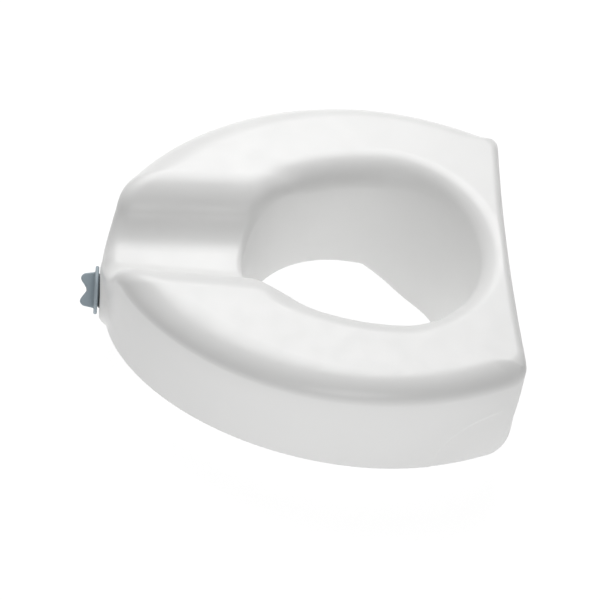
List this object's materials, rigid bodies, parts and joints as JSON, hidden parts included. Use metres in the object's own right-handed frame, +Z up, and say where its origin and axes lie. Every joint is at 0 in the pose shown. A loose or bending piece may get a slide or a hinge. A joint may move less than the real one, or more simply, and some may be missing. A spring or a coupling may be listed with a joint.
{
  "type": "raised toilet seat",
  "caption": "Hollow moulded raised toilet seat with an oval opening and front trough; a front knob turns a screw that clamps a jaw inside the bowl's rim.",
  "frame": {"origin": "on the plane of the bowl's rim, where the rim pads rest, in the plane of symmetry, at the seat's widest line", "axes": "+Z up out of the bowl; -Y to the front of the seat, where the knob is; +X to the sitter's left"},
  "size_m": [0.3948, 0.4198, 0.151],
  "materials": {
    "white_shell": "satin-gloss white blow-moulded polyethylene",
    "white_nylon": "matte natural white moulded nylon",
    "white_jaw": "matte white injection-moulded plastic",
    "grey_nylon": "matte grey moulded nylon",
    "grey_blue_plastic": "fine-grained grey-blue moulded plastic",
    "dark_washer": "dark low-friction plastic",
    "grey_rubber": "matte grey rubber",
    "steel": "stainless steel"
  },
  "bodies": {
    "seat": {"seat_body": "white_shell", "front_bushing": "white_nylon", "guide_rail_left": "white_nylon", "guide_rail_right": "white_nylon", "guide_screws": "steel", "rear_bearing": "white_nylon", "rear_bearing_screws": "steel", "rim_pad_front_left": "grey_rubber", "rim_pad_front_right": "grey_rubber", "rim_pad_rear_left": "grey_rubber", "rim_pad_rear_right": "grey_rubber", "vent_plugs": "white_shell"},
    "knob_and_screw": {"knob": "grey_blue_plastic", "knob_screw": "steel", "worm_screw": "white_nylon", "outer_thrust_washer": "dark_washer", "inner_thrust_washer": "dark_washer", "screw_end_washer": "steel", "screw_end_clip": "steel"},
    "jaw": {"clamp_jaw": "white_jaw", "travel_nut": "grey_nylon", "travel_nut_screws": "steel", "jaw_pad": "grey_rubber"}
  },
  "joints": [
    {"name": "knob_turn", "type": "hinge", "parent": "seat", "child": "knob_and_screw", "pos_m": [0, -0.2504, 0.0355], "axis": [0, 1, 0], "range_deg": [0, 1800]},
    {"name": "jaw_slide", "type": "slide", "parent": "seat", "child": "jaw", "axis": [0, -1, 0], "range_m": [0, 0.0601]}
  ],
  "couplings": [
    {"joint": "jaw_slide", "follows": "knob_turn", "m_per_rad": 0.0019099}
  ]
}
